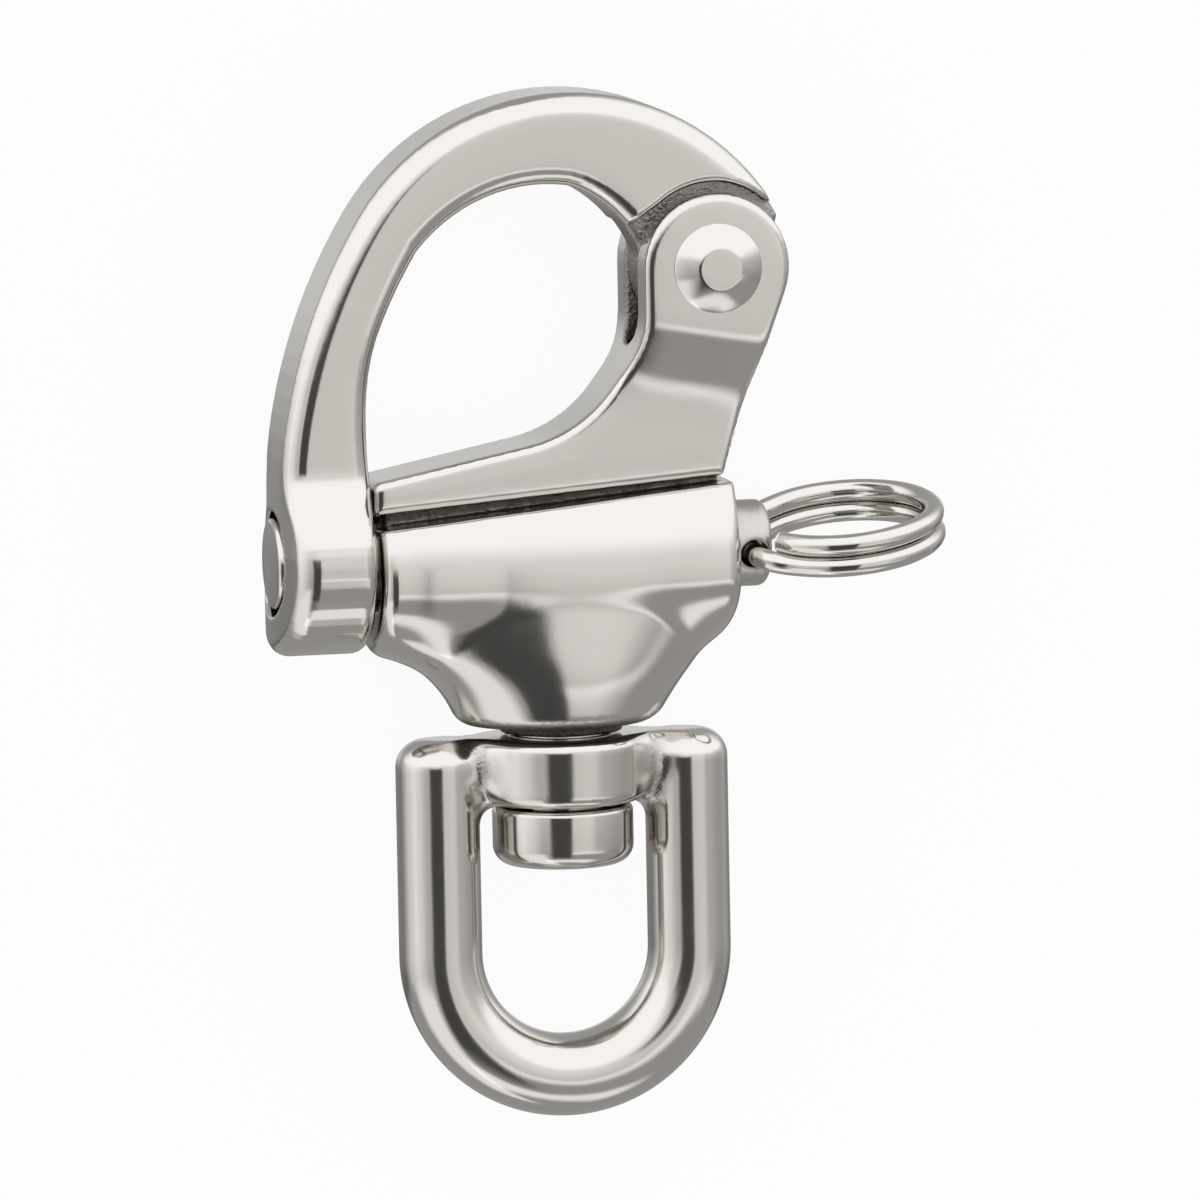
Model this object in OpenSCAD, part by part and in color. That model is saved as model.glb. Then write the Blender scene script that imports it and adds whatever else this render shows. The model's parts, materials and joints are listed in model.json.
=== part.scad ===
// Swivel snap shackle in cast stainless steel, about 90 mm long.
// It lies on its back: +X runs along the plunger towards the pull ring, +Y from the
// eye to the bail, +Z up. The origin is the centre of the eye's bow.

/* [Swivel eye] */
// Inner radius of the eye's bow
eye_inner_r = 7.4; // [6.8:0.1:9]
// Diameter of the eye's rod
eye_rod_d = 7.2; // [5.5:0.1:7.6]
// Height from the centre of the bow to the top of the eye
eye_top = 18.8; // [17:0.1:24]
// Diameter of the boss that turns on the stud
boss_d = 14.4; // [13:0.1:16]
// Height of the boss
boss_h = 5.8; // [5:0.1:8]

/* [Swivel stud] */
// Diameter of the stud's shank in the boss
stud_d = 8.4; // [7:0.1:9]
// Diameter of the stud's head
stud_head_d = 12.2; // [10.5:0.1:13]
// Height of the stud's head
stud_head_h = 5.2; // [3:0.1:6]
// Diameter of the tail that is fixed in the casting
stud_tail_d = 7.0; // [5:0.1:7.6]
// Length of the tail inside the casting
stud_tail_l = 7.5; // [5:0.1:8.5]
// Diameter of the collar between the casting and the eye
collar_d = 10.6; // [9:0.1:12]
// Height of the collar
collar_h = 0.8; // [0.6:0.1:2]

/* [Casting] */
// Height from the collar to the plunger axis
plunger_h = 14.7; // [13:0.1:17]
// Distance from the swivel axis to the latch end of the casting
latch_end = 16.8; // [14:0.1:18]
// Distance from the swivel axis to the ring end of the casting
ring_end = 14.8; // [13:0.1:17]
// Radius of the round foot over the eye
foot_r = 8.7; // [8:0.1:9.5]
// Half depth of the casting at the plunger
waist_hz = 7.8; // [7:0.1:8.3]
// Depth that the casting gains from the plunger down to the foot
foot_flare = 0.9; // [0.4:0.1:1.2]
// Half depth of the round ends of the plunger barrel
end_hz = 7.3; // [6.8:0.1:7.6]
// Radius of the rounded edges at the two ends
end_edge = 1.3; // [0.5:0.1:1.6]
// Radius of the hollow flanks between the plunger barrel and the foot
flank_r = 9; // [7:0.1:11]
// Width of the open groove under the arm
groove_w = 0.9; // [0.5:0.1:1.4]
// Half depth of the web that carries the arm over the groove
web_hz = 3.3; // [3:0.1:3.6]

/* [Arm and cheeks] */
// Distance from the swivel axis to the bail's rivet, along the plunger
rivet_x = 13.3; // [13:0.1:16]
// Height of the bail's rivet over the plunger axis
rivet_y = 24.5; // [22:0.1:25]
// Radius of the cheeks round the rivet
cheek_r = 6.4; // [5.8:0.1:7]
// Half thickness over the two cheeks
cheek_hz = 6.0; // [5.6:0.1:6.6]
// Half thickness of the arm below the cheeks
arm_hz = 4.1; // [3.8:0.1:5]
// Width of the slot between the cheeks
slot_w = 4.8; // [4:0.1:5.6]
// Radius of the slot's round floor
slot_r = 9.5; // [9:0.1:9.8]

/* [Bail] */
// Radius of the bail's outer bow
bow_r = 21.4; // [20.8:0.1:22]
// Distance from the rivet back to the centre of the bow, along the plunger
bow_back = 12.7; // [12:0.05:13.5]
// Distance from the rivet down to the centre of the bow
bow_drop = 6; // [5.8:0.1:7]
// Radius of the long outer curve of the shank
shank_curve_r = 49; // [46:1:52]
// Width of the bail where it is narrowest
bail_min_w = 5.8; // [5:0.1:6.6]
// Width that the shank gains down to the barrel
shank_gain = 2.1; // [1.5:0.1:2.4]
// Width that the bow gains round to the cheeks
bow_gain = 7.4; // [7:0.1:8.2]
// Half depth of the bail
bail_hz = 5.2; // [4.6:0.1:5.6]
// Radius of the bail's outer rounded edge
outer_edge = 2.0; // [1.6:0.1:3]
// Radius of the bail's inner rounded edge
inner_edge = 1.6; // [1:0.1:2.2]
// Radius of the barrel that the plunger locks
barrel_r = 8.0; // [7.4:0.1:8.4]
// Length of the barrel
barrel_l = 8.1; // [7:0.1:9]
// Radius of the barrel's crowned outer face
crown_r = 18; // [11:0.5:25]
// Radius of the hollow where the shank runs out of the barrel
hollow_r = 5; // [3:0.5:6]
// Diameter of the hole through the barrel
latch_hole_d = 9.1; // [8.3:0.1:9.8]
// Radius of the shoulder that clears the cheeks
shoulder_r = 7.3; // [7.2:0.1:7.6]

/* [Rivet] */
// Diameter of the rivet's shank
rivet_d = 6.0; // [5:0.1:6.4]
// Diameter of the rivet's heads
rivet_head_d = 7.9; // [7.2:0.1:9]
// Height of each head
rivet_head_h = 1.2; // [0.8:0.1:2]

/* [Plunger] */
// Diameter of the plunger's nose
nose_d = 7.8; // [7:0.1:8]
// Length of the nose that stays in the casting
nose_guide_l = 8; // [6:0.1:9]
// How far the nose reaches into the bail's barrel: 0 frees the bail, 8.2 locks it
nose_reach = 0; // [0:0.1:8.2]
// Diameter of the plunger's shank
shank_d = 4.2; // [3.6:0.1:4.6]
// Thickness of the end wall that guides the shank
end_wall = 3; // [2:0.1:4]
// Diameter of the spring's wire
spring_wire_d = 1.0; // [0.8:0.1:1.1]
// Number of turns of the spring
spring_turns = 8; // [6:1:9]

/* [Knob and ring] */
// Diameter of the knob
knob_d = 7.5; // [7:0.1:8]
// Length of the knob
knob_l = 3.3; // [3.2:0.1:4.5]
// Diameter of the cross hole for the ring
ring_hole_d = 2.4; // [2.3:0.1:2.6]
// Diameter of the ring's wire
ring_wire_d = 1.85; // [1.6:0.05:2]
// Mean radius of the ring's two coils
ring_r = 7.9; // [7.4:0.1:9]
// Distance from the cross hole to the centre of the ring
ring_reach = 8.8; // [8.2:0.1:10]
// Turn of the plunger in its bore
ring_roll = 10; // [0:1:60]
// Swing of the ring about its cross hole
ring_swing = 6; // [-40:1:60]

/* [Fits] */
// Clearance round a turning or sliding shaft
running_fit = 0.05; // [0.02:0.01:0.09]
// Clearance between faces that pass each other
face_gap = 0.3; // [0.2:0.05:0.5]

/* [Hidden] */
$fn = 64;
STEEL = "gainsboro";
POLISHED = "lightgray";
foot_y = eye_top + face_gap + collar_h;
plunger_y = foot_y + plunger_h;
leg_x = eye_inner_r + eye_rod_d / 2;
rivet = [rivet_x, plunger_y + rivet_y];
bail_gap = 0.5;
barrel_x1 = -latch_end - bail_gap;
barrel_x0 = barrel_x1 - barrel_l;
tongue_hz = slot_w / 2 - 0.2;
knob_x0 = ring_end + 0.2;
hole_x = knob_x0 + knob_l / 2;

// ---- outlines -------------------------------------------------------------
// Points on an arc about c from angle a0 to a1.
function arc(c, r, a0, a1, n = 8) =
    [for (i = [0:n]) let (a = a0 + (a1 - a0) * i / n) c + r * [cos(a), sin(a)]];
function unit(v) = v / norm(v);
function mix(a, b, t) = a + (b - a) * t;
// Smooth step from 0 to 1 while v goes from lo to hi.
function ease(v, lo, hi) = let (t = min(max((v - lo) / (hi - lo), 0), 1)) t * t * (3 - 2 * t);
// The corner b between a and c, rounded with radius r.
function round_corner(a, b, c, r, n = 6) =
    let (u = unit(a - b), v = unit(c - b),
        half = acos(u * v) / 2,
        m = b + unit(u + v) * r / sin(half),
        p = b + u * r / tan(half) - m,
        q = b + v * r / tan(half) - m,
        a0 = atan2(p.y, p.x), turn = atan2(q.y, q.x) - a0,
        short = turn > 180 ? turn - 360 : turn < -180 ? turn + 360 : turn)
    arc(m, r, a0, a0 + short, n);
// A closed outline from [x, y, radius] corners.
function rounded(corners) = [for (i = [0:len(corners) - 1])
    let (n = len(corners), b = corners[i],
        a = corners[(i + n - 1) % n], c = corners[(i + 1) % n])
    each b.z == 0 ? [[b.x, b.y]]
        : round_corner([a.x, a.y], [b.x, b.y], [c.x, c.y], b.z)];

// A closed skin over equal rings of points.
module skin(rings) {
    n = len(rings[0]);
    m = len(rings);
    polyhedron(
        points = [for (ring = rings) each ring],
        faces = concat(
            [[for (j = [n - 1:-1:0]) j]],
            [for (i = [0:m - 2], j = [0:n - 1])
                let (k = (j + 1) % n)
                each [[i * n + j, i * n + k, (i + 1) * n + k],
                    [i * n + j, (i + 1) * n + k, (i + 1) * n + j]]],
            [[for (j = [0:n - 1]) (m - 1) * n + j]]));
}

module along_x(x0, x1) {
    translate([x0, plunger_y, 0]) rotate([90, 0, 90]) linear_extrude(x1 - x0) children();
}
module shaft_x(r, x0, x1) {
    translate([x0, plunger_y, 0]) rotate([0, 90, 0]) cylinder(r = r, h = x1 - x0);
}
// A profile of [radius, height] turned about the swivel axis.
module turn_y() {
    rotate([-90, 0, 0]) rotate_extrude() children();
}

// ---- swivel eye -----------------------------------------------------------
module swivel_eye() color(POLISHED) difference() {
    rod_r = eye_rod_d / 2;
    shoulder = 3.2;
    bar_y0 = eye_top - boss_h + 0.2;
    union() {
        rotate([0, 0, 180]) rotate_extrude(angle = 180) translate([leg_x, 0]) circle(rod_r);
        for (side = [-1, 1]) translate([side * leg_x, 0, 0]) turn_y()
            polygon(concat([[0, 0], [rod_r, 0]],
                arc([rod_r - shoulder, eye_top - shoulder], shoulder, 0, 90), [[0, eye_top]]));
        // the bar is a little thinner than the boss that it carries
        translate([-leg_x, 0, 0]) rotate([90, 0, 90]) linear_extrude(2 * leg_x)
            polygon(rounded([for (q = [[-1, bar_y0], [-1, eye_top], [1, eye_top], [1, bar_y0]])
                [q.y, q.x * (rod_r - 0.1), 2.6]]));
        turn_y() polygon(rounded([[0, eye_top - boss_h, 0], [boss_d / 2, eye_top - boss_h, 0.9],
            [boss_d / 2, eye_top, 1.2], [0, eye_top, 0]]));
    }
    turn_y() square([stud_d / 2 + running_fit, eye_top + 1]);
}

// ---- swivel stud ----------------------------------------------------------
module swivel_stud() color(POLISHED) turn_y() {
    head_y = eye_top - boss_h - face_gap;
    polygon(concat(
        [[0, head_y - stud_head_h]],
        arc([stud_head_d / 2 - 1.8, head_y - stud_head_h + 1.8], 1.8, -90, 0),
        arc([stud_head_d / 2 - 0.5, head_y - 0.5], 0.5, 0, 90, 3),
        [[stud_d / 2, head_y], [stud_d / 2, eye_top + face_gap / 2],
            [stud_tail_d / 2, eye_top + face_gap / 2], [stud_tail_d / 2, foot_y + stud_tail_l],
            [0, foot_y + stud_tail_l]]));
}

// ---- casting --------------------------------------------------------------
// The ledge under the arm rises towards the ring.
rim_r = 1.2;
ledge_y0 = plunger_y + 3.0;
ledge_y1 = plunger_y + 5.9;
function ledge_y(x) = mix(ledge_y0, ledge_y1, (x + latch_end) / (latch_end + ring_end));

// The casting's body is a loft of level sections: an oval foot that sweeps out into a
// round barrel along the plunger. Heights are measured from the plunger's axis.
low_y = -waist_hz - 0.6;
rim_y = foot_y - plunger_y + rim_r;
function smooth_max(a, b, k) = (a + b + sqrt((a - b) * (a - b) + k * k)) / 2;
function smooth_min(a, b, k) = -smooth_max(-a, -b, k);
// Half width at height y: the flank's hollow arc, up to the end of the casting.
function flank_x(y) = let (h = y - low_y + flank_r, x = foot_r + flank_r)
    h > flank_r ? x : x - sqrt(max(flank_r * flank_r - h * h, 0));
function rim_in(y) = y < rim_y ? rim_r - sqrt(max(rim_r * rim_r - pow(rim_y - y, 2), 0)) : 0;
function latch_w(y) = min(flank_x(max(y, rim_y)), latch_end) - rim_in(y);
function ring_w(y) = let (rise = (y - rim_y) * (ring_end - foot_r - 0.5) / (-5.6 - rim_y))
    smooth_min(min(flank_x(max(y, rim_y)), foot_r + 0.5 + max(rise, 0)), ring_end, 0.6) - rim_in(y);
// Half depth in the middle of the section, and of the barrel's round end.
function middle_hz(y) = y > 0 ? waist_hz * sqrt(1 - pow(y / 12, 2))
    : waist_hz + foot_flare * ease(-y, 2, -rim_y) - rim_in(y);
function barrel_hz(y) = end_hz * sqrt(max(1 - pow(y / low_y, 2), 0));
// Half depth at x: the oval and the barrel flow into each other, and the ends are rounded.
function body_hz(x, y) = let (w = x < 0 ? latch_w(y) : ring_w(y), hz = barrel_hz(y),
        oval = middle_hz(y) * sqrt(max(1 - pow(x / w, 2), 0)),
        r = 0.01 + end_edge * min(1, hz / 3), t = min(max((abs(x) - w + r) / r, 0), 1))
    max(smooth_max(oval, hz, min(hz, 1.2)) - r * (1 - sqrt(1 - t * t)), 0.05);
function body_ring(y, n = 24) = let (w0 = latch_w(y), w1 = ring_w(y),
        x = [for (j = [0:n]) (w1 - w0) / 2 + (w1 + w0) / 2 * cos(180 * j / n)])
    concat([for (j = [0:n]) [x[j], plunger_y + y, body_hz(x[j], y)]],
        [for (j = [n:-1:0]) [x[j], plunger_y + y, -body_hz(x[j], y)]]);
module body() {
    rim = [for (a = [90:-22.5:0]) rim_y - rim_r * sin(a)];
    flank = [for (a = [30:7:86]) low_y - flank_r + flank_r * sin(a)];
    barrel = [for (a = [8:14:78]) low_y * cos(a)];
    skin([for (y = concat(rim, flank, barrel, [0, 2, 3.5, 5, 6.5])) body_ring(y)]);
}
// Front view of the space under the open groove: its top is the ledge.
module bulge() {
    intersection() {
        body();
        linear_extrude(4 * waist_hz, center = true) polygon([
            [-2 * latch_end, foot_y - 1], [2 * ring_end, foot_y - 1],
            [2 * ring_end, ledge_y(2 * ring_end)], [-2 * latch_end, ledge_y(-2 * latch_end)]]);
    }
}
module collar() {
    turn_y() translate([stud_d / 2 - 0.4, foot_y - collar_h])
        square([collar_d / 2 - stud_d / 2 + 0.4, collar_h + 1]);
}
// Front view of the arm and the cheek, as one outline.
module arm_outline() {
    cheek_end = -21.5;
    polygon(concat(
        rounded([[rivet.x + cheek_r * cos(cheek_end), rivet.y + cheek_r * sin(cheek_end), 0],
            [ring_end + 0.7, plunger_y + 12, 15],
            [ring_end - 0.9, ledge_y1 + 0.4, 0.4],
            [-latch_end - 0.1, ledge_y0 + groove_w, 0.5],
            [-latch_end - 0.1, plunger_y + 7, 0.8],
            [rivet.x - 12, plunger_y + 10.7, 12],
            [rivet.x - cheek_r, rivet.y - 6.6, 6],
            [rivet.x - cheek_r, rivet.y - 1, 0]]),
        arc(rivet, cheek_r, 180, cheek_end, 24)));
}
// Side view of the arm and the cheeks: the cheeks stand proud of the arm.
module arm_depth() {
    step0 = plunger_y + 12.5;
    step1 = plunger_y + 18.4;
    top = rivet.y + cheek_r + 1;
    polygon([for (s = [-1, 1]) each [for (p = s < 0
        ? [[ledge_y0, arm_hz], [step0, arm_hz], [step1, cheek_hz], [top, cheek_hz]]
        : [[top, cheek_hz], [step1, cheek_hz], [step0, arm_hz], [ledge_y0, arm_hz]])
        [p.x - plunger_y, s * p.y]]]);
}
module arm() {
    intersection() {
        linear_extrude(2 * cheek_hz + 2, center = true) arm_outline();
        along_x(-latch_end - 1, rivet.x + cheek_r + 2) arm_depth();
    }
}
module web() {
    linear_extrude(2 * web_hz, center = true)
        polygon([[-latch_end + 1, ledge_y0 - 1], [ring_end - 1, ledge_y1 - 1],
            [ring_end - 1, ledge_y1 + 2], [-latch_end + 1, ledge_y0 + 2]]);
}
module casting() color(STEEL) difference() {
    union() {
        bulge();
        collar();
        arm();
        web();
    }
    // slot for the bail's tongue, and the rivet's hole
    translate([rivet.x, rivet.y, 0]) {
        cylinder(r = slot_r, h = slot_w, center = true);
        cylinder(r = rivet_d / 2, h = 20, center = true);
    }
    // spring chamber from the latch end, then the shank's guide
    shaft_x(nose_d / 2 + running_fit, -latch_end - 1, ring_end - end_wall);
    shaft_x(shank_d / 2 + running_fit, ring_end - end_wall - 1, ring_end + 1);
    // blind hole for the stud's tail
    turn_y() translate([0, foot_y - collar_h - 1])
        square([stud_tail_d / 2, collar_h + 1 + stud_tail_l]);
}

// ---- bail -----------------------------------------------------------------
bow_c = rivet - [bow_back, bow_drop];
// The bail's outer edge at t: the long flat arc of the shank up to 1, then the bow.
bow_a0 = 148;
bow_a1 = 30;
shank_c = bow_c + (bow_r - shank_curve_r) * [cos(bow_a0), sin(bow_a0)];
shank_a1 = 179;
barrel_edge = 1.8;
function outer_a(t) = t < 1 ? mix(shank_a1, bow_a0, t) : mix(bow_a0, bow_a1, t - 1);
function outer_p(t) = let (a = outer_a(t))
    (t < 1 ? shank_c : bow_c) + (t < 1 ? shank_curve_r : bow_r) * [cos(a), sin(a)];
// Width of the bail across its flat face: it grows towards both ends.
function bail_w(t) = let (a = outer_a(t)) t < 1 ? bail_min_w + shank_gain * ease(a, 158, 180)
    : bail_min_w + bow_gain * (0.005 * (bow_a0 - a) + 0.007 * max(0, 88 - a));
// Half depth at the height y over the plunger: the round root, a hollow, the flat shank.
// The root lies a little inside the barrel, so that the hollow runs out of it at an angle.
root_r = barrel_r - 0.3;
hollow_a = asin((bail_hz + hollow_r) / (root_r + hollow_r));
hollow_y = (root_r + hollow_r) * cos(hollow_a);
function hollow_hz(y) = bail_hz + hollow_r - sqrt(hollow_r * hollow_r - pow(hollow_y - y, 2));
function shank_hz(y) = y > hollow_y ? bail_hz
    : y > root_r * cos(hollow_a) ? hollow_hz(y) : sqrt(root_r * root_r - y * y);
function bail_round(y, edge) = mix(barrel_edge, edge, ease(y, 4, 11));
// How far the crowned outer face falls back at the depth z.
function crown_in(y, z) = z * z / (2 * crown_r) * (1 - ease(y, 4, 11));
// A section w by 2 h, seen along the bail, with its outer and inner edges rounded.
function section(w, h, r_out, r_in, n = 4) =
    [for (q = [[1, 1, 0], [-1, 1, 90], [-1, -1, 180], [1, -1, 270]])
        let (r = q.x > 0 ? r_out : r_in)
        each arc([q.x * (w / 2 - r), q.y * (h - r)], r, q.z, q.z + 90, n)];
function bail_ring(t) = let (a = outer_a(t), w = bail_w(t), out = [cos(a), sin(a)],
        m = outer_p(t) - out * w / 2, y = m.y - plunger_y,
        r_out = bail_round(y, outer_edge), r_in = bail_round(y, inner_edge))
    [for (p = section(w, shank_hz(y), r_out, r_in))
        let (x = p.x > 0 ? p.x - crown_in(y, p.y) : p.x)
        [m.x + out.x * x, m.y + out.y * x, p.y]];

module bail_bow() {
    hollow = [for (i = [0:5]) 0.03 * i];
    rest = [for (i = [0:23]) 0.2 + 1.8 * i / 23];
    steps = concat(hollow, rest);
    skin([for (i = [len(steps) - 1:-1:0]) bail_ring(steps[i])]);
}
// The barrel is round about the plunger, and its outer face is crowned.
module barrel() {
    intersection() {
        translate([0, plunger_y, 0]) rotate([0, 90, 0]) rotate_extrude()
            polygon(rounded([[0, barrel_x0, 0], [barrel_r, barrel_x0, barrel_edge],
                [barrel_r, barrel_x1, 1.4], [0, barrel_x1, 0]]));
        crown();
    }
}
// Plan view of the barrel: its outer face is an arc.
module crown() {
    sweep = asin(barrel_r / crown_r);
    translate([0, plunger_y + barrel_r, 0]) rotate([90, 0, 0]) linear_extrude(2 * barrel_r)
        polygon(concat(
            arc([barrel_x0 + crown_r, 0], crown_r, 180 - sweep, 180 + sweep, 12),
            [[barrel_x1, -barrel_r], [barrel_x1, barrel_r]]));
}
module bail() color(POLISHED) difference() {
    union() {
        bail_bow();
        barrel();
        translate([rivet.x, rivet.y, -tongue_hz]) cylinder(r = cheek_r - 0.2, h = 2 * tongue_hz);
    }
    // shoulders that turn round the cheeks, on both sides of the tongue
    for (side = [-1, 1]) translate([rivet.x, rivet.y, side * (tongue_hz + 5)])
        cylinder(r = shoulder_r, h = 10, center = true);
    translate([rivet.x, rivet.y, -10]) cylinder(r = rivet_d / 2 + running_fit, h = 20);
    shaft_x(latch_hole_d / 2, barrel_x0 - 1, barrel_x1 + 1);
}

// ---- rivet ----------------------------------------------------------------
module bail_rivet() color(POLISHED) translate([rivet.x, rivet.y, 0]) {
    r = rivet_head_d / 2;
    rim = 0.45;
    rotate_extrude() polygon(concat(
        [[0, -cheek_hz - rivet_head_h], [r * 0.45, -cheek_hz - rivet_head_h * 0.95],
            [r * 0.8, -cheek_hz - rivet_head_h * 0.7], [r, -cheek_hz - rim], [r, -cheek_hz],
            [rivet_d / 2, -cheek_hz], [rivet_d / 2, cheek_hz]],
        [[r, cheek_hz], [r, cheek_hz + rim], [r * 0.8, cheek_hz + rivet_head_h * 0.7],
            [r * 0.45, cheek_hz + rivet_head_h * 0.95], [0, cheek_hz + rivet_head_h]]));
}

// ---- plunger --------------------------------------------------------------
nose_x0 = -latch_end - 0.2 - nose_reach;
nose_x1 = -latch_end + nose_guide_l;
module along_plunger() {
    translate([0, plunger_y, 0]) rotate([ring_roll, 0, 0]) children();
}
module cross_hole() {
    along_plunger() translate([hole_x, 0, 0]) cylinder(d = ring_hole_d, h = 20, center = true);
}
module plunger_pin() color(POLISHED) difference() {
    translate([0, plunger_y, 0]) rotate([0, 90, 0]) rotate_extrude() polygon([
        [0, nose_x0], [nose_d / 2 - 0.5, nose_x0], [nose_d / 2, nose_x0 + 0.5],
        [nose_d / 2, nose_x1], [shank_d / 2, nose_x1],
        [shank_d / 2, knob_x0 + knob_l - 0.3], [0, knob_x0 + knob_l - 0.3]]);
    cross_hole();
}
module plunger_knob() color(STEEL) difference() {
    translate([0, plunger_y, 0]) rotate([0, 90, 0]) rotate_extrude() polygon([
        [shank_d / 2, knob_x0], [knob_d / 2 - 0.2, knob_x0], [knob_d / 2, knob_x0 + 0.2],
        [knob_d / 2, knob_x0 + knob_l - 0.7], [knob_d / 2 - 0.6, knob_x0 + knob_l],
        [shank_d / 2, knob_x0 + knob_l]]);
    cross_hole();
}

// A round wire swept along a path: a ring of points round each point of the path.
function path_dir(p, i) = unit(p[min(i + 1, len(p) - 1)] - p[max(i - 1, 0)]);
function wire_ring(c, dir, up, r, n) = let (s = unit(cross(dir, up)), u = cross(s, dir))
    [for (j = [0:n - 1]) c + r * (cos(360 * j / n) * s + sin(360 * j / n) * u)];
module wire(path, up, r, n = 10) {
    skin([for (i = [0:len(path) - 1]) wire_ring(path[i], path_dir(path, i), up, r, n)]);
}

module plunger_spring() color(STEEL) {
    x0 = nose_x1 + spring_wire_d / 2 + 0.1;
    x1 = ring_end - end_wall - spring_wire_d / 2 - 0.1;
    r = nose_d / 2 - spring_wire_d / 2 - 0.25;
    steps = 14;
    wire([for (i = [0:spring_turns * steps]) let (a = 360 * i / steps)
        [mix(x0, x1, i / (spring_turns * steps)), plunger_y + r * cos(a), r * sin(a)]],
        [1, 0, 0], spring_wire_d / 2, 7);
}

// ---- split ring -----------------------------------------------------------
// Path in the ring's own plane: u from the cross hole towards the centre, v along the
// hole, and w across the two coils.
function coil(a0, a1, w) = let (n = ceil(abs(a1 - a0) / 9)) [for (i = [0:n])
    let (a = a0 + (a1 - a0) * i / n) [ring_reach - ring_r * cos(a), ring_r * sin(a), w]];
ring_path = let (w = ring_wire_d / 2 + 0.02, v = knob_d / 2 + 0.2, b = 1.1) concat(
    coil(33, 319, w),
    [[1.25, -v - b, 0.6 * w], [0.4, -v - 0.75 * b, 0.3 * w], [0, -v, 0.1 * w], [0, -v / 2, 0],
        [0, v / 2, 0], [0, v, -0.1 * w], [0.4, v + 0.75 * b, -0.3 * w], [1.25, v + b, -0.6 * w]],
    coil(41, 327, -w));
module split_ring() color(STEEL) along_plunger() translate([hole_x, 0, 0])
    rotate([0, 0, ring_swing]) wire([for (p = ring_path) [p.x, p.z, p.y]], [0, 1, 0],
        ring_wire_d / 2, 10);

casting();
bail();
bail_rivet();
plunger_pin();
plunger_knob();
plunger_spring();
split_ring();
swivel_stud();
swivel_eye();
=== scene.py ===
# %% [markdown]
# # A swivel snap shackle, dressed in cast stainless steel
# The CAD model is the fixed frame: it says where every piece is and how it moves. This
# lesson gives each piece its finished surface and metal, then sets up a small studio.
# All sizes below are in millimetres, in the frame's own axes: +X along the plunger,
# +Y from the eye to the bail, +Z up. Meshes are turned to metres when they are made.

# %% Load the frame
import json
import math

import bpy
import numpy as np
from mathutils import Matrix, Vector


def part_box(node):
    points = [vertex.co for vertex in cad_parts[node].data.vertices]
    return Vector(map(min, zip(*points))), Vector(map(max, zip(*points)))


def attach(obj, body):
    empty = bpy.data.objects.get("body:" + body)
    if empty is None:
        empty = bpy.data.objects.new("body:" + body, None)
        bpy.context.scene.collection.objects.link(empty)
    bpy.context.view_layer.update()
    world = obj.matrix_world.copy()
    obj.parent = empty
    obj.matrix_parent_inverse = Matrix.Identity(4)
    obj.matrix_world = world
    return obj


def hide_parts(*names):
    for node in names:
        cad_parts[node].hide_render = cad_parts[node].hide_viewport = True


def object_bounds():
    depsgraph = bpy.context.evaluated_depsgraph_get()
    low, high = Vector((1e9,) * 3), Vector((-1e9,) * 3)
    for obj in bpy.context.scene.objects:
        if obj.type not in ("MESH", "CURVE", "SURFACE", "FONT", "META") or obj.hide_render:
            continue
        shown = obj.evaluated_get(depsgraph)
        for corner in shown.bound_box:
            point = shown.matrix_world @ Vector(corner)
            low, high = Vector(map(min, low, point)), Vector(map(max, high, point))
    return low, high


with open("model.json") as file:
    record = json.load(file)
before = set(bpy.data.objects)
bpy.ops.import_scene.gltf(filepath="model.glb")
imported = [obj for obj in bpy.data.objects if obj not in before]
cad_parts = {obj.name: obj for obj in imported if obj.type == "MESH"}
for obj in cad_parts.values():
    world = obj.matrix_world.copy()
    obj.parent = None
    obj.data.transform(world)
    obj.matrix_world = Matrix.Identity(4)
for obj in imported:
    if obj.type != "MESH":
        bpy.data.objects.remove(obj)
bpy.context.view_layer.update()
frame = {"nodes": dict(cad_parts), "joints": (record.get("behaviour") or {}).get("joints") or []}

# %% [markdown]
# ## Places that come from the frame
# The joints already know the plunger's axis, the rivet and the ring's cross hole, and
# the nodes' boxes give the ends of the casting and the eye. They are read here and not
# typed in again, so that each finished piece lies on its own solid.


# %% Places
MM = 0.001


def box_mm(node):
    """The lowest and the highest corner of a node's box, in millimetres."""
    return [np.array(corner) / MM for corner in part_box(node)]


joint = {j["name"]: j for j in frame["joints"]}
plunger_y = joint["plunger_turn"]["pos_m"][1] / MM
rivet = np.array(joint["bail_swing"]["pos_m"][:2]) / MM
hole_x = joint["ring_swing"]["pos_m"][0] / MM
ring_hinge = np.array(joint["ring_swing"]["axis"])

casting_low, casting_high = box_mm("casting")
latch_x, collar_y, foot_r = casting_low[0] + 0.1, casting_low[1], casting_high[2]
foot_y = collar_y + 0.8
eye_low, eye_high = box_mm("swivel_eye")
eye_top, boss_r = eye_high[1], eye_high[2]
stud_low, stud_high = box_mm("swivel_stud")
bail_low, bail_high = box_mm("bail")
barrel_x0, barrel_x1 = bail_low[0], latch_x - 0.5
barrel_r = plunger_y - bail_low[1]
knob_low, knob_high = box_mm("plunger_knob")
knob_r = knob_high[2]
ring_x = knob_low[0] - 0.2
print(f"plunger at y {plunger_y:.1f}, rivet at {rivet.round(1)}, cross hole at x {hole_x:.2f}")

# %% [markdown]
# ## Sizes that pieces share
# A few sizes are used by more than one piece: the bail's tongue has to fit the slot, the
# rivet's heads lie on the cheeks, and the plunger slides in the casting and locks the
# bail. Each is named once here, so that both sides of a fit change together.

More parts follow.
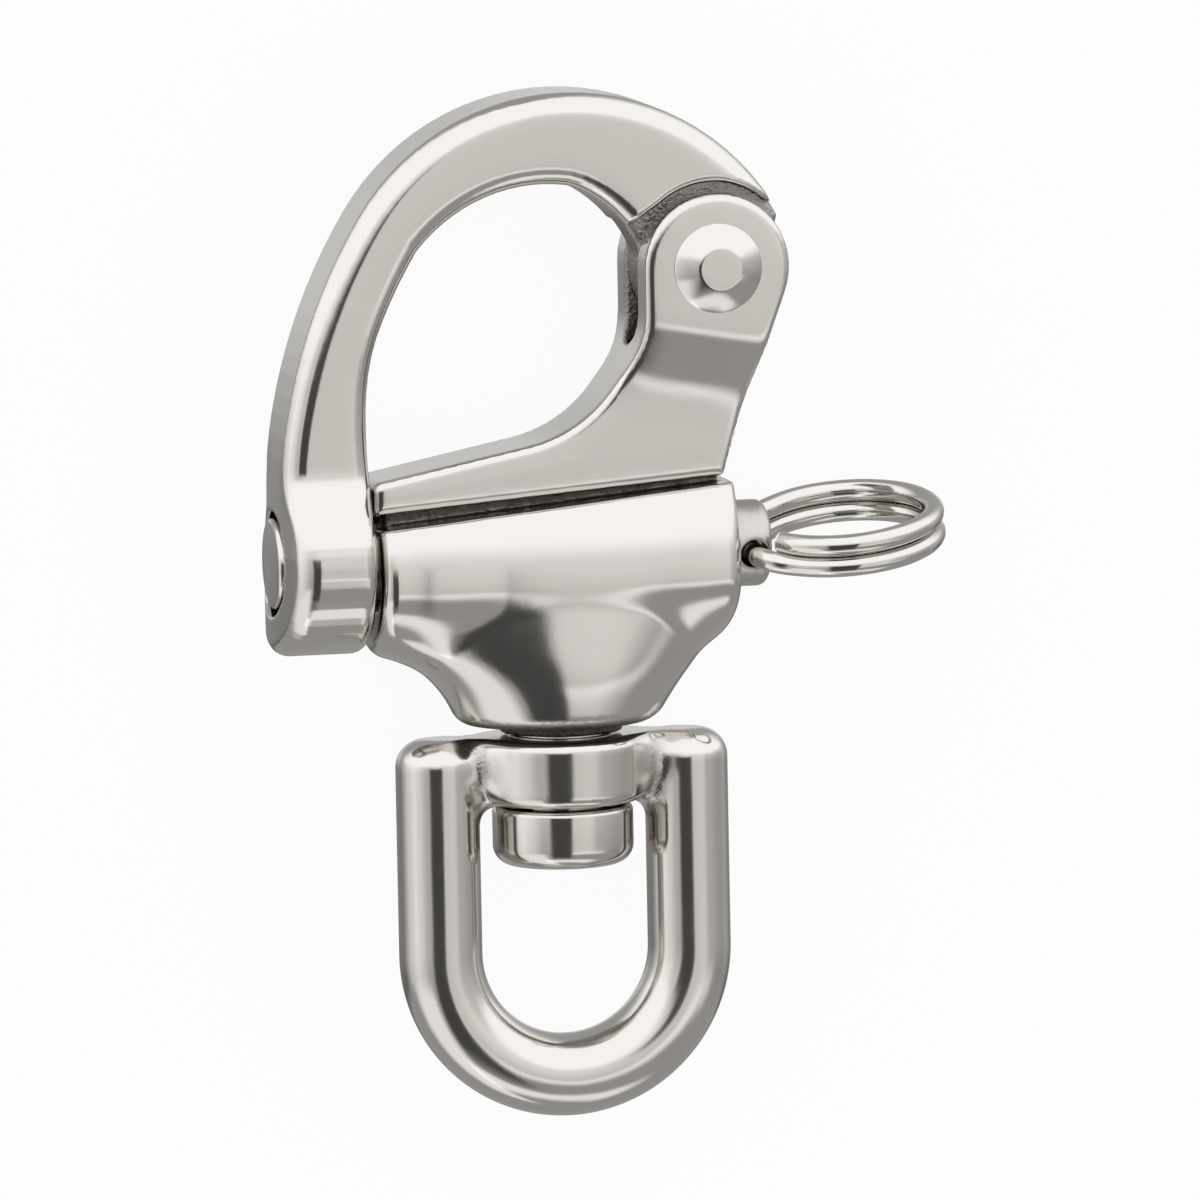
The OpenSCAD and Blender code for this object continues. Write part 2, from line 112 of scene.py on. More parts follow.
# %% Shared sizes
arm_z, cheek_z, cheek_r = 4.3, 5.9, 6.4  # half depths of the arm and the cheeks
rivet_r, stud_r, neck_r = 3.0, 3.5, 4.2  # the stud is thicker where the eye turns on it
nose_r, shank_r = 3.9, 2.1
slot_z, tongue_z = 2.4, 2.2  # half widths of the slot and of the tongue in it
running_fit = 0.05
print(f"tongue {2 * tongue_z:.1f} mm in a slot of {2 * slot_z:.1f} mm, nose {2 * nose_r:.1f} mm across")

# %% [markdown]
# ## Plane outlines
# A cast part starts as a plane outline of straight lines and arcs. `rounded` turns a
# short list of corners, each with its own radius, into points, and `outline_distance`
# turns the points into a field: how far a point is outside the outline, or inside it.


# %% Outlines and their distance
def unit(v):
    """A vector divided by its own length."""
    v = np.asarray(v, float)
    return v / np.linalg.norm(v, axis=-1, keepdims=True)


def on_circle(centre, r, a):
    """Points centre + r (cos a, sin a), for angles a in degrees."""
    a = np.radians(a)
    return np.stack([centre[0] + r * np.cos(a), centre[1] + r * np.sin(a)], -1)


def arc(centre, r, a0, a1, n=12):
    """n + 1 points on a circle, from the angle a0 to a1."""
    return on_circle(centre, r, np.linspace(a0, a1, n + 1))


def rounded(corners, n=8):
    """A closed outline: each corner (x, y, r) is cut by the arc that touches both sides."""
    corners = np.array(corners, float)
    points = []
    for before, here, after in zip(np.roll(corners, 1, 0), corners, np.roll(corners, -1, 0)):
        if here[2] == 0:
            points.append(here[None, :2])
            continue
        u, v = unit(before[:2] - here[:2]), unit(after[:2] - here[:2])
        half = np.arccos(np.clip(u @ v, -1, 1)) / 2
        centre = here[:2] + unit(u + v) * here[2] / np.sin(half)
        reach = here[2] / np.tan(half)
        p, q = here[:2] + u * reach - centre, here[:2] + v * reach - centre
        a0 = math.degrees(math.atan2(p[1], p[0]))
        turn = (math.degrees(math.atan2(q[1], q[0])) - a0 + 180) % 360 - 180
        points.append(arc(centre, here[2], a0, a0 + turn, n))
    return np.concatenate(points)


def outline_distance(points, x, y):
    """Distance to the nearest side of a closed outline, negative where a ray from the
    point crosses the outline an odd number of times."""
    x, y = np.broadcast_arrays(x, y)
    nearest = np.full(x.shape, 1e9)
    inside = np.zeros(x.shape, bool)
    for p, q in zip(points, np.roll(points, -1, 0)):
        side = q - p
        length2 = side @ side
        if length2 < 1e-12:
            continue
        t = np.clip(((x - p[0]) * side[0] + (y - p[1]) * side[1]) / length2, 0, 1)
        nearest = np.minimum(nearest, (x - p[0] - t * side[0]) ** 2 + (y - p[1] - t * side[1]) ** 2)
        if p[1] != q[1]:
            crossing = (p[1] > y) != (q[1] > y)
            inside ^= crossing & (x < p[0] + (y - p[1]) * side[0] / side[1])
    return np.where(inside, -1, 1) * np.sqrt(nearest)


plate = rounded([[-3, -3, 1], [3, -3, 1], [3, 3, 1], [-3, 3, 1]])
print("the middle of a 6 mm square plate is at", outline_distance(plate, 0.0, 0.0).round(3))

# %% [markdown]
# ## Joining cast forms
# A casting has no seam where two forms meet: a fillet fills each inner corner and a
# round takes off each outer edge. With distance fields each is one formula. `join` is a
# union with a fillet and `meet` an overlap with a round. `edge` rounds an edge that
# stops at a crease, as where a flat side was ground, and `pillow` is how such a flat
# wears down near its edges.


# %% Fillets and rounds
def join(d1, d2, r=1e-6):
    """Union; where both are nearer than r, a fillet of radius r fills the corner."""
    return np.maximum(r, np.minimum(d1, d2)) - np.hypot(np.maximum(r - d1, 0), np.maximum(r - d2, 0))


def meet(d1, d2, r=1e-6):
    """Overlap; the outer edge is a round of radius r."""
    return np.minimum(-r, np.maximum(d1, d2)) + np.hypot(np.maximum(r + d1, 0), np.maximum(r + d2, 0))


def edge(side, front, r, crease=20):
    """Overlap of a side and a front face: the edge between them is an arc of radius r
    that is tangent to the front and ends in a crease, crease degrees short of the side."""
    inset = r * math.cos(math.radians(crease))
    return np.maximum(side, np.hypot(np.maximum(side + inset, 0), np.maximum(front + r, 0)) - r)


def pillow(inset, width=3.0, r=40.0):
    """How far a ground face has worn down near its edge: (width - inset)^2 / (2 r)."""
    return np.maximum(width - np.maximum(inset, 0), 0) ** 2 / (2 * r)


def oval(u, v, a, b):
    """Nearly the distance to the oval (u / a)^2 + (v / b)^2 = 1: (k - 1) over the slope
    of k, where k^2 is the left side."""
    k = np.maximum(np.hypot(u / a, v / b), 1e-6)
    return k * (k - 1) / np.hypot(u / a ** 2, v / b ** 2).clip(1e-9)


def ease(v, start, end):
    """A smooth step from 0 at start to 1 at end: 3 t^2 - 2 t^3."""
    t = np.clip((v - start) / (end - start), 0, 1)
    return t * t * (3 - 2 * t)


def above_zero(v, bend):
    """v where it is over 0, else 0, with a soft bend between: (v + sqrt(v^2 + bend^2)) / 2."""
    return (v + np.hypot(v, bend)) / 2


print(f"0.2 mm from both sides of a corner is {-join(0.2, 0.2, 1.0):.2f} mm inside its 1 mm fillet")

# %% [markdown]
# ## From a field to a skin
# Most pieces here could be lofted or turned, but a body that blends a barrel, a foot, an
# arm and two cheeks can't be written as one function of two parameters. So the cast
# pieces are level surfaces: the field is sampled on a grid, one vertex is put in each
# cell that the surface crosses, and the vertices are then drawn onto the exact surface
# along the field's slope. All of it is whole arrays, with no loop over vertices.


# %% Vertices of a skin
def crossings(value, inside):
    """One point for each cell that the surface crosses: the mean of the places where the
    cell's twelve edges change sign. Returns the points, counted in cells, and a grid with
    the number of each cell's point."""
    corners = np.stack(np.meshgrid([0, 1], [0, 1], [0, 1], indexing="ij"), -1).reshape(-1, 3)
    size = np.array(value.shape) - 1
    count = sum(inside[i:i + size[0], j:j + size[1], k:k + size[2]].astype(np.int8)
                for i, j, k in corners)
    cell = np.argwhere((count > 0) & (count < 8))
    number = np.full(size, -1)
    number[tuple(cell.T)] = np.arange(len(cell))
    total, hits = np.zeros((len(cell), 3)), np.zeros(len(cell))
    for axis in range(3):
        along = np.eye(3, dtype=int)[axis]
        for off in corners[corners[:, axis] == 0]:
            v0, v1 = value[tuple((cell + off).T)], value[tuple((cell + off + along).T)]
            cut = (v0 < 0) != (v1 < 0)
            t = np.where(cut, v0 / np.where(cut, v0 - v1, 1), 0)
            total += cut[:, None] * (off + t[:, None] * along)
            hits += cut
    return cell + total / hits[:, None], number


def slope(field, p, h=0.02):
    """Central differences of the field at the points p."""
    return np.stack([(field(*(p + h * e).T) - field(*(p - h * e).T)) / (2 * h) for e in np.eye(3)], 1)


def settle(field, p, step, times=3):
    """Moves the points onto the surface: -field * slope / slope^2, never far at a time."""
    for _ in range(times):
        g = slope(field, p)
        move = -field(*p.T)[:, None] * g / np.maximum((g * g).sum(1), 0.05)[:, None]
        p = p + np.clip(move, -0.4 * step, 0.4 * step)
    return p


# %% Faces of a skin
def crossing_quads(inside, number):
    """One quad round each grid edge that changes sign, between its four cells, turned so
    that it faces outwards."""
    quads = []
    for axis in range(3):
        b, c = (axis + 1) % 3, (axis + 2) % 3
        turned_round = np.moveaxis(inside, (axis, b, c), (0, 1, 2))
        ids = np.moveaxis(number, (axis, b, c), (0, 1, 2))
        here, there = turned_round[:-1, 1:-1, 1:-1], turned_round[1:, 1:-1, 1:-1]
        i, j, k = np.nonzero(here != there)
        quad = np.stack([ids[i, j, k], ids[i, j + 1, k], ids[i, j + 1, k + 1], ids[i, j, k + 1]], 1)
        quads.append(np.where(here[i, j, k][:, None], quad, quad[:, ::-1]))
    return np.concatenate(quads)


def skin(field, low, high, step):
    """Vertices and quads of the surface where the field is zero, within a box."""
    axes = [np.arange(a, b + step, step) for a, b in zip(low, high)]
    value = field(axes[0][:, None, None], axes[1][None, :, None], axes[2][None, None, :])
    cells, number = crossings(value, value < 0)
    points = np.array([a[0] for a in axes]) + step * cells
    return settle(field, points, step), crossing_quads(value < 0, number).tolist()


ball = skin(lambda x, y, z: np.sqrt(x * x + y * y + z * z) - 1, [-1.2] * 3, [1.2] * 3, 0.2)
ball_r = np.linalg.norm(ball[0], axis=1)
print(f"a test ball has {len(ball_r)} vertices, {ball_r.min():.3f} to {ball_r.max():.3f} from its centre")

# %% [markdown]
# ## From points to a piece
# Every piece of the shackle is one mesh with its place in its vertices. It rides on the
# body that carries it, so that it moves with the joints, and it stands for the CAD solid
# of the same part. Turned parts keep their steps sharp, castings are smooth all over.


# %% Pieces
def mesh_object(name, points, faces, material):
    """A smooth mesh object, from points in millimetres."""
    mesh = bpy.data.meshes.new(name)
    mesh.from_pydata((points * MM).tolist(), [], faces)
    mesh.update()
    mesh.shade_smooth()
    mesh.materials.append(material)
    obj = bpy.data.objects.new(name, mesh)
    bpy.context.scene.collection.objects.link(obj)
    return obj


def set_attribute(obj, name, values):
    """Keeps one number for each vertex, for the material to read."""
    attribute = obj.data.attributes.new(name, "FLOAT", "POINT")
    attribute.data.foreach_set("value", values.astype(np.float32))


def piece(name, shape, body, material, node, skin_shade=None, sharp=None):
    """A finished piece from its points and faces. raw is how much of the mould's skin,
    with its painted shade, is left at each vertex, and edges over sharp degrees stay sharp."""
    points, faces = shape
    obj = mesh_object(name, points, faces, material)
    if sharp is not None:
        obj.data.set_sharp_from_angle(angle=math.radians(sharp))
    if skin_shade is not None:
        set_attribute(obj, "skin_and_painted_shade", skin_shade)
    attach(obj, body)
    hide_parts(node)
    print(f"{name}: {len(points)} vertices, {len(faces)} faces")


# %% [markdown]
# ## The metals
# Every piece is stainless steel, a warm light grey metal. What differs is how the
# surface was made: tumble polished castings are slightly uneven, the mould's own skin is
# left grainy and darker in the corners that the polish doesn't reach, and its colour there
# is darkened further as painted shade, turned parts and the drawn wire are smoother. An
# image could show this, but bumps from noise in the object's own place have no seams and
# keep their real size in millimetres.


# %% Colours and nodes
def linear(hex_colour, factor=1.0):
    """sRGB hex to linear RGBA, made lighter or darker by a factor."""
    c = np.array([int(hex_colour[i:i + 2], 16) for i in (1, 3, 5)]) / 255
    return (*(factor * np.where(c <= 0.04045, c / 12.92, ((c + 0.055) / 1.055) ** 2.4)), 1.0)


def add(tree, kind, sockets=None, **settings):
    """Adds a node. settings are its attributes, and sockets gives each input, by name or
    number, its value or the output that feeds it."""
    node = tree.nodes.new(kind)
    for key, value in settings.items():
        setattr(node, key, value)
    for key, value in (sockets or {}).items():
        if isinstance(value, bpy.types.NodeSocket):
            tree.links.new(value, node.inputs[key])
        else:
            node.inputs[key].default_value = value
    return node


def new_material(name):
    """A material with an empty node tree."""
    material = bpy.data.materials.new(name)
    material.use_nodes = True
    material.node_tree.nodes.clear()
    return material, material.node_tree


def mixed_colour(tree, factor, a, b):
    """Colour a where the factor is 0 and b where it is 1."""
    return add(tree, "ShaderNodeMix", {"Factor": factor, 6: a, 7: b}, data_type="RGBA").outputs[2]


def noise(tree, size_mm, detail):
    """Noise in the object's own place, with lumps of about size_mm."""
    place = add(tree, "ShaderNodeTexCoord").outputs["Object"]
    sockets = {"Vector": place, "Scale": 1 / (size_mm * MM), "Detail": detail}
    return add(tree, "ShaderNodeTexNoise", sockets).outputs["Fac"]


def bump(tree, height, depth_mm, sockets=None):
    """Tilts the surface as if the height were depth_mm deep."""
    sockets = {"Height": height, "Distance": depth_mm * MM, "Strength": 1.0, **(sockets or {})}
    return add(tree, "ShaderNodeBump", sockets).outputs["Normal"]


print("polished steel is", np.round(linear("#d4d0ca")[:3], 3), "in linear light")

# %% [markdown]
# ## One steel with four finishes
# Three bumps lie over each other: the slow unevenness of the cast skin, the fine tooth
# left by the polish and, only where the mould's skin is left with its painted shade, its
# pits. The slow noise also changes the roughness a little, so that highlights aren't the
# same all over.


# %% Stainless steel
pit_mm, pit_depth_mm = 0.35, 0.25
# the mould's skin: grainy and darker, and darkened further as painted shade in the corners
skin_shade_colour = "#5a5650"


def steel(name, colour, roughness, tooth_mm, tooth, wave_mm, wave):
    """Stainless steel: tooth and wave are the depths of the fine and the slow bump."""
    material, tree = new_material(name)
    fine, slow, pits = noise(tree, tooth_mm, 3.0), noise(tree, wave_mm, 1.5), noise(tree, pit_mm, 4.0)
    # how much mould's skin with painted shade lies here: it darkens the colour as shade and roughens the
    # surface
    skin_shade = add(tree, "ShaderNodeAttribute", attribute_name="skin_and_painted_shade").outputs["Fac"]
    mottled_skin_shade = mixed_colour(tree, pits, linear(skin_shade_colour, 0.55), linear(skin_shade_colour, 1.5))
    base = mixed_colour(tree, skin_shade, linear(colour), mottled_skin_shade)
    polish = add(tree, "ShaderNodeMapRange", {
        "Value": slow, "From Min": 0.3, "From Max": 0.7,
        "To Min": roughness * 0.85, "To Max": roughness * 1.15}).outputs["Result"]
    rough = add(tree, "ShaderNodeMath", {0: skin_shade, 1: 0.3, 2: polish}, operation="MULTIPLY_ADD")
    normal = bump(tree, slow, wave)
    normal = bump(tree, fine, tooth, {"Normal": normal})
    normal = bump(tree, pits, pit_depth_mm, {"Normal": normal, "Strength": skin_shade})
    shader = add(tree, "ShaderNodeBsdfPrincipled", {
        "Base Color": base, "Roughness": rough.outputs["Value"], "Normal": normal, "Metallic": 1.0})
    add(tree, "ShaderNodeOutputMaterial", {"Surface": shader.outputs["BSDF"]})
    return material


# lost-wax castings, tumbled bright
cast_steel = steel("tumbled_cast_stainless", "#d4d0ca", 0.13, 0.30, 0.0016, 5.0, 0.03)
# bar turned on a lathe and tumbled with the rest
turned_steel = steel("turned_stainless", "#d4d0ca", 0.12, 0.25, 0.0012, 3.0, 0.008)
# a small casting left as it came from the mould and the blasting
rough_steel = steel("as_cast_stainless", "#c2beb8", 0.32, 0.30, 0.012, 1.2, 0.03)
# wire drawn through a die
wire_steel = steel("drawn_stainless_wire", "#d4d0ca", 0.10, 0.25, 0.001, 4.0, 0.01)
print("metals:", [m.name for m in (cast_steel, turned_steel, rough_steel, wire_steel)])

# %% [markdown]
# ## The casting: outlines
# The body is one casting. A barrel for the plunger lies along X and sweeps down in two
# hollow flanks to a round foot. Over the barrel an open groove parts it from the arm,
# which widens into two cheeks round the rivet. First come its lines: the barrel's
# sloping top edge, the flanks' sweep, the depth from front to back, and the arm.

# %% Casting: outlines
low_t, rim_t, flank_r = -8.4, -13.5, 9.0  # where the flanks bend out and end, and their radius
slant_t = -5.6  # the ring side's straight flank starts here; t is the height over the plunger
barrel_z, crown_t, crown_r = 7.5, -2.0, 10.6


def ledge(x):
    """Height of the barrel's top edge, which rises towards the ring."""
    return plunger_y + 3.0 + 2.9 * (x - latch_x) / (ring_x - latch_x)


def flank(t):
    """Half width of the foot at the height t: an arc of radius flank_r that sweeps out."""
    h = np.clip(flank_r - above_zero(low_t - t, 1.2), 0, flank_r)
    return foot_r + flank_r - np.sqrt(np.maximum(flank_r ** 2 - h * h, 0))


def slanted_flank(t):
    """The flank on the ring's side: the same arc, held in by a straight slant."""
    slant = foot_r + 0.5 + (t - rim_t) * (ring_x - foot_r - 0.5) / (slant_t - rim_t)
    return flank(t) - above_zero(flank(t) - np.maximum(slant, foot_r - 1), 0.632)


def front_z(t):
    """Half depth at the height t: it grows slowly downwards, shrinks again at the foot,
    and over crown_t it closes like a circle of radius crown_r."""
    depth = barrel_z + 0.096 * above_zero(-1 - t, 1.875) - 0.24 * above_zero(-10.5 - t, 1.2)
    return depth * np.sqrt(np.maximum(1 - (np.maximum(t - crown_t, 0) / crown_r) ** 2, 0.2))


cheek_end = -21.5
arm_outline = np.concatenate([
    rounded([[*on_circle(rivet, cheek_r, cheek_end), 0], [ring_x + 0.7, plunger_y + 12, 15],
             [ring_x - 0.9, ledge(ring_x) + 0.5, 0.5], [latch_x - 0.1, ledge(latch_x) + 1.1, 0.5],
             [latch_x - 0.1, plunger_y + 6.9, 0.9], [rivet[0] - 12, plunger_y + 10.5, 12],
             [rivet[0] - cheek_r, rivet[1] - 6.6, 8], [rivet[0] - cheek_r, rivet[1] - 1, 0]]),
    arc(rivet, cheek_r, 180, cheek_end, 24)])
print(f"the foot is {2 * flank(rim_t):.1f} mm wide, the arm's outline has {len(arm_outline)} points")

# %% [markdown]
# ## The casting: barrel, foot and arm
# Barrel and foot are ovals seen from above, whose axes follow the lines just drawn, with
# a fillet where they meet. The arm is a plate, thinner than the cheeks, with a soft step
# between them. A web at the bottom of the groove joins it to the barrel.


# %% Casting: the forms
step_low, step_high, step_slant = 14.3, 18.5, 0.19  # the step from the arm to the cheeks
web_z = 2.6


def barrel_and_foot(x, y, z):
    """Two ovals with a fillet, cut off at both ends, at the top edge and at the foot."""
    t = y - plunger_y
    foot = oval(x, z, np.where(x < 0, flank(t), slanted_flank(t)), front_z(t))
    over, under = 10.0, 4.9 + 1.5 * ease(x, -4, latch_x - 4)
    barrel = oval(t - crown_t, z, np.where(t > crown_t, over, under), barrel_z)
    body = join(foot, barrel, 1.0 + 2 * ease(np.abs(x), 6, 13))
    body = meet(body, latch_x - x, 1.3)
    body = meet(body, x - ring_x, 1.5)
    body = meet(body, y - ledge(x), 0.35)
    return edge(foot_y - y, body, 1.2, 15)


def arm_and_cheeks(x, y, z):
    """A plate with worn edges. Its depth steps up from the arm to the cheeks between two
    heights over the plunger, along a slightly slanted line."""
    t = y - plunger_y + step_slant * (x - rivet[0])
    share = (above_zero(t - step_low, 1.8) - above_zero(t - step_high, 0.8)) / (step_high - step_low)
    depth = arm_z + (cheek_z - arm_z) * share
    side = outline_distance(arm_outline, x, y)
    return edge(side, np.abs(z) - depth + pillow(-side), 0.75, 25)


def web(x, y, z):
    """The thin wall at the bottom of the groove."""
    return np.maximum(np.maximum(np.abs(z) - web_z, np.abs(y - ledge(x)) - 2.5),
                      np.maximum(latch_x + 1.2 - x, x - ring_x + 1.2))


print(f"arm {2 * arm_z:.1f} mm and cheeks {2 * cheek_z:.1f} mm from front to back")

# %% [markdown]
# ## The casting: holes, slot and skin
# The slot for the bail's tongue is milled, with a round bottom. The chamber for the
# spring and the holes for shank, rivet and stud are drilled. The grainy skin of the
# mould stays where no polish reaches: in the groove, in the slot and under the foot, and
# these places are also painted dark as shade.

# %% Casting: the skin
slot_r, collar_r, collar_h = 9.5, 5.3, 1.8


def from_rivet(x, y):
    """Distance from the rivet's axis."""
    return np.hypot(x - rivet[0], y - rivet[1])


def rivet_slot(x, y, z):
    """A disc of radius slot_r and half width slot_z with a round edge."""
    return np.hypot(np.maximum(from_rivet(x, y) - slot_r + slot_z, 0), z) - slot_z


def casting_field(x, y, z):
    """Barrel, foot, arm, cheeks and collar, with the slot and the bores cut out."""
    about_x, about_y = np.hypot(y - plunger_y, z), np.hypot(x, z)
    body = join(barrel_and_foot(x, y, z), web(x, y, z), 0.3)
    body = join(body, arm_and_cheeks(x, y, z), 0.3)
    collar = np.maximum(about_y - collar_r, np.abs(y - collar_y - collar_h / 2) - collar_h / 2)
    body = join(body, collar, 0.15)
    body = meet(body, -rivet_slot(x, y, z), 0.4)
    body = np.maximum(body, rivet_r + 0.02 - from_rivet(x, y))
    chamber = np.maximum(about_x - nose_r - running_fit, x - ring_x + 3)
    body = meet(body, -chamber, 0.25)
    body = np.maximum(body, shank_r + running_fit - about_x)
    return np.maximum(body, -np.maximum(about_y - stud_r, y - foot_y - 7.5))


def casting_skin_shade(p):
    """1 on the mould's own skin and its painted shade: the groove and under the foot, and 0.6 in the slot."""
    x, y, z = p.T
    slot = 0.6 * (1 - ease(rivet_slot(x, y, z), 0.1, 0.5))
    over = y - ledge(x)
    gap = np.minimum(ease(over, -0.1, 0.3), 1 - ease(over, 0.9, 1.3))
    groove = gap * (1 - ease(np.abs(z), 3.0, 4.0))
    under = 1 - ease(y, foot_y + 0.25, foot_y + 1.0)
    return np.maximum(np.maximum(slot, groove), under)


shape = skin(casting_field, [latch_x - 1, collar_y - 1, -foot_r - 1],
             [rivet[0] + cheek_r + 1, rivet[1] + cheek_r + 1, foot_r + 1], 0.27)
piece("casting_skin", shape, "casting", cast_steel, "casting", casting_skin_shade(shape[0]))

# %% [markdown]
# ## The bail: outlines
# The bail is a hook of flat oval section: a long slightly bowed shank over the barrel
# that the plunger locks, then a round bow that grows wider towards the rivet. Seen from
# the front its outer side is two arcs, and its inner side lies its own width further in.
# Seen along X, a hollow leads from the round barrel to the flat shank.

# %% Bail: outlines
bail_z, latch_hole_r = 4.8, 4.55
bow_c = rivet - [12.7, 6.0]
bow_r, bow_a0, bow_a1 = 21.4, 148, 28
shank_r_out = 49
shank_c = on_circle(bow_c, bow_r - shank_r_out, bow_a0)
hollow_r, barrel_bulge_r = 5.0, 20.0


def bail_width(a):
    """Width of the bail at the angle a of its outer edge: it grows to both ends."""
    shank = 2.1 * ease(a, 158, 180)
    bow = 0.037 * (bow_a0 - a) + 0.052 * np.maximum(0, 88 - a)
    return 5.8 + np.where(a > bow_a0, shank, bow)


def bail_edge(inset):
    """The bail's long edge, inset times its width in from the outer side."""
    shank_a, bow_a = np.linspace(176, bow_a0, 14)[:-1], np.linspace(bow_a0, bow_a1, 30)
    return np.concatenate([on_circle(shank_c, shank_r_out - inset * bail_width(shank_a), shank_a),
                           on_circle(bow_c, bow_r - inset * bail_width(bow_a), bow_a)])


def bail_profile():
    """The bail seen along X, about the plunger: the round barrel, a hollow, the shank."""
    far = 60
    turn = math.degrees(math.asin((bail_z + hollow_r) / (barrel_r + hollow_r)))
    reach = (barrel_r + hollow_r) * math.cos(math.radians(turn))
    return np.concatenate([[[far, bail_z]], arc([reach, bail_z + hollow_r], hollow_r, -90, turn - 180),
                           arc([0, 0], barrel_r, turn, 360 - turn, 40),
                           arc([reach, -bail_z - hollow_r], hollow_r, 180 - turn, 90), [[far, -bail_z]]])


outer_side = np.concatenate([bail_edge(0), [
    rivet + [5, -1], rivet - [6.5, 4], [rivet[0] - 8, plunger_y - 12],
    [barrel_x0, plunger_y - 12], [barrel_x0, plunger_y + 1]]])
inner_side = np.concatenate([bail_edge(1), [
    rivet - [4, 9], [rivet[0] - 5, plunger_y - 14],
    [barrel_x1, plunger_y - 14], [barrel_x1, plunger_y + 4]]])
side_view = bail_profile()
print(f"the bail is {bail_width(bow_a0):.1f} mm wide at the shank and {bail_width(bow_a1):.1f} mm at the rivet")

# %% [markdown]
# ## The bail: skin
# The flat sides were ground, so a crease runs round them where the round edge stops.
# Shoulders on both sides of the tongue clear the cheeks, and the barrel is drilled for
# the plunger's nose. Only the tongue keeps some of the mould's skin, and beside the
# cheeks it is painted darker as shade.


# %% Bail: the skin
shoulder_r, tongue_r = 7.3, 6.2


def bail_field(x, y, z):
    """Bow, shank, barrel and tongue, with the shoulders and the holes cut out."""
    outside = outline_distance(outer_side, x, y)
    inside = outline_distance(inner_side, x, y)
    front = outline_distance(side_view, y - plunger_y, z)
    near_barrel = ease(y, plunger_y + 11, plunger_y + 4)
    bulge = near_barrel * (barrel_bulge_r - np.sqrt(np.maximum(barrel_bulge_r ** 2 - z * z, 1)))
    front = front + pillow(np.minimum(-outside, inside)) * (1 - near_barrel)
    body = edge(outside + bulge, front, 2.1 - 0.5 * near_barrel, 20)
    body = np.maximum(body, edge(-inside, front, 1.7 - 0.2 * near_barrel, 25))
    about = from_rivet(x, y)
    angle = np.degrees(np.arctan2(y - rivet[1], x - rivet[0])) % 360
    shoulder = np.maximum(about - shoulder_r - 1.4 * ease(angle, 128, 172), tongue_z - np.abs(z))
    body = meet(body, -shoulder, 0.6)
    tongue = meet(about - tongue_r, np.abs(z) - tongue_z, 0.2)
    body = join(body, tongue, 0.2)
    body = np.maximum(body, rivet_r + running_fit - about)
    hole = np.maximum(np.hypot(y - plunger_y, z) - latch_hole_r, x - bow_c[0])
    return meet(body, -hole, 0.25)


def bail_skin_shade(p):
    """0.55 on the tongue beside the cheeks, which keeps some of the mould's skin and is painted dark there as
    shade.
    """
    x, y, z = p.T
    beside = 1 - ease(np.abs(z), tongue_z + 0.6, tongue_z + 1.8)
    return 0.55 * beside * ease(from_rivet(x, y), 9.6, 8.6)


shape = skin(bail_field, [barrel_x0 - 1, plunger_y - barrel_r - 1, -barrel_r - 1],
             [rivet[0] + 8, bow_c[1] + bow_r + 1, barrel_r + 1], 0.22)
piece("bail_skin", shape, "bail", cast_steel, "bail", bail_skin_shade(shape[0]))

# %% [markdown]
# ## The swivel eye
# A round rod bent into a U, closed by a bar with a boss that turns on the stud. A bent
# tube would be simpler, but the legs run into the bar and the boss with fillets, so the
# eye is a level surface too: the U is a distance from a half ring and two lines.

# %% Swivel eye
rod_r, bar_z = 3.6, 2.6
leg_x = eye_high[0] - rod_r
boss_y = eye_top - 5.8


def eye_field(x, y, z):
    """Half a ring and two legs of round rod, the bar between them and the boss."""
    bow = np.hypot(np.hypot(x, y) - leg_x, z) - rod_r
    leg = np.hypot(np.abs(x) - leg_x, z) - rod_r
    bar = np.maximum(meet(np.abs(z) - bar_z, boss_y + 1.2 - y, 1.8), np.abs(x) - leg_x)
    about_y = np.hypot(x, z)
    boss = meet(meet(about_y - boss_r, boss_y - y, 0.9), y - eye_top, 1.0)
    body = meet(join(np.where(y < 0, bow, leg), bar, 0.8), y - eye_top, 2.5)
    body = np.maximum(join(body, boss, 2.2), y - eye_top)
    bore = np.maximum(about_y - neck_r - running_fit, boss_y - 2 - y)
    return meet(body, -bore, 0.3)


def eye_skin_shade(p):
    """0.3 in the corners beside the boss, where the polish doesn't reach: the mould's skin and painted shade.
    """
    x, y, z = p.T
    beside = ease(np.abs(x), 6.9, 7.4) * (1 - ease(np.abs(x), 7.8, 9.0))
    along = ease(y, boss_y - 2.5, boss_y - 0.5) * (1 - ease(y, eye_top - 1.2, eye_top - 0.2))
    return 0.3 * beside * along


shape = skin(eye_field, eye_low - 1, eye_high + 1, 0.3)
piece("eye_skin", shape, "eye", cast_steel, "swivel_eye", eye_skin_shade(shape[0]))

# %% [markdown]
# ## Turned parts
# The stud, the rivet and the plunger were turned on a lathe, so each is a profile of
# radius and length carried round an axis. The profile's ends lie on the axis, and a fan
# of triangles round one pole closes the mesh at each end, so that it is watertight.


# %% Lathe
def grid_quads(rows, columns):
    """Quads between the neighbours in a grid that is closed round its columns."""
    i, j = np.meshgrid(np.arange(rows - 1), np.arange(columns), indexing="ij")
    k = (j + 1) % columns
    corners = [i * columns + j, i * columns + k, (i + 1) * columns + k, (i + 1) * columns + j]
    return np.stack(corners, -1).reshape(-1, 4).tolist()


def closed_tube(rings, poles):
    """Points and faces of a row of rings, closed by a fan round a pole at each end."""
    n, steps = rings.shape[:2]
    j = np.arange(steps)
    k = (j + 1) % steps
    start = np.stack([np.full(steps, n * steps), k, j], 1)
    end = np.stack([np.full(steps, n * steps + 1), (n - 1) * steps + j, (n - 1) * steps + k], 1)
    points = np.concatenate([rings.reshape(-1, 3), poles])
    return points, grid_quads(n, steps) + start.tolist() + end.tolist()


